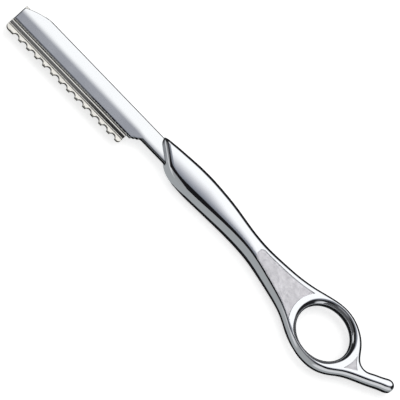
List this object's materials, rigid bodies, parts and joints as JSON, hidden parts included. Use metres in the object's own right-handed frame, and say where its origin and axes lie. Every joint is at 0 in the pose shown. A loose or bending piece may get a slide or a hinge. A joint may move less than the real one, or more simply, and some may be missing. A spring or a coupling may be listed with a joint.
{
  "type": "hair styling razor",
  "caption": "Hair styling razor: polished grip with finger ring and curved tang, and a folded steel holder whose slot takes a sliding blade with a comb guard.",
  "frame": {"origin": "centre of the finger ring's bore, halfway through the thickness", "axes": "+X along the razor from the blade's end to the tang, +Y across it towards the spine, away from the cutting edge, +Z along the ring's bore"},
  "size_m": [0.2123, 0.0316, 0.0076],
  "materials": {
    "grip_metal": "mirror polished, with matte panels beside the ring",
    "holder_steel": "polished sheet",
    "inner_steel": "mill finish",
    "blade_steel": "fine ground",
    "guard_steel": "satin rolled strip"
  },
  "bodies": {
    "razor": {"handle_body": "grip_metal", "blade_holder": "holder_steel", "neck_liner": "inner_steel", "anchor_pins": "inner_steel"},
    "cartridge": {"blade": "blade_steel", "guard_comb": "guard_steel"}
  },
  "joints": [
    {"name": "cartridge_slide", "type": "slide", "parent": "razor", "child": "cartridge", "axis": [-1, 0, 0], "range_m": [0, 0.066]}
  ]
}
